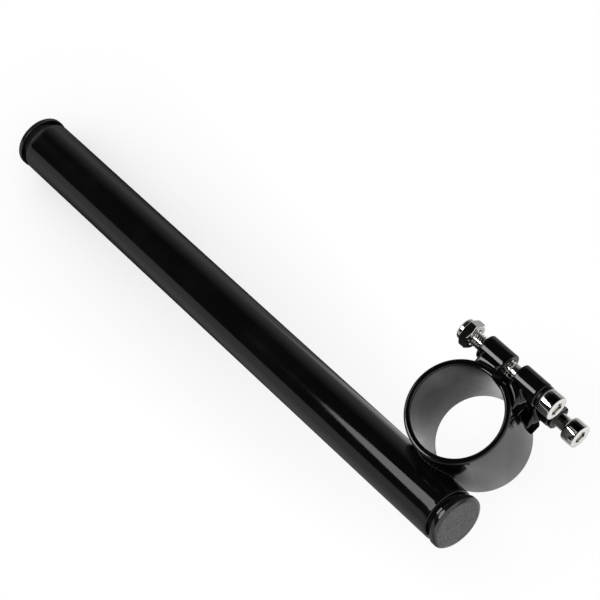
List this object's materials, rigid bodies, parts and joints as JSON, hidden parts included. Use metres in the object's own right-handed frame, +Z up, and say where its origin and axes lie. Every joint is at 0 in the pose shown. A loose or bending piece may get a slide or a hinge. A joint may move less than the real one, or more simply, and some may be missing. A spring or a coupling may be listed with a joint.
{
  "type": "clip on handlebar",
  "caption": "Clip-on motorcycle handlebar: a straight capped bar welded beside a split ring that pinches the fork leg with cap screws through welded lugs.",
  "frame": {"origin": "middle of the fork bore, on its axis and halfway along the clamp ring", "axes": "+Z up the fork leg; +X along the bar's plan direction towards its inner end; +Y from the bar to the ring's split"},
  "size_m": [0.2786, 0.0718, 0.0747],
  "materials": {
    "gloss_black": "gloss black enamel over steel",
    "black_plastic": "moulded satin black plastic",
    "bright_plate": "bright plated steel",
    "dark_steel": "blackened spring steel"
  },
  "bodies": {
    "root": {"bar_tube": "gloss_black", "clamp_ring": "gloss_black", "upper_nut_lug": "gloss_black", "upper_head_lug": "gloss_black", "lower_nut_lug": "gloss_black", "lower_head_lug": "gloss_black", "saddle_weld": "gloss_black", "upper_nut_lug_top_weld": "gloss_black", "upper_nut_lug_bottom_weld": "gloss_black", "upper_head_lug_top_weld": "gloss_black", "upper_head_lug_bottom_weld": "gloss_black", "lower_nut_lug_top_weld": "gloss_black", "lower_nut_lug_bottom_weld": "gloss_black", "lower_head_lug_top_weld": "gloss_black", "lower_head_lug_bottom_weld": "gloss_black", "outer_end_cap": "black_plastic", "inner_end_cap": "black_plastic", "upper_pinch_screw": "bright_plate", "upper_nut": "bright_plate", "lower_pinch_screw": "bright_plate", "lower_nut": "bright_plate", "upper_lock_washer": "dark_steel", "lower_lock_washer": "dark_steel"}
  },
  "joints": []
}
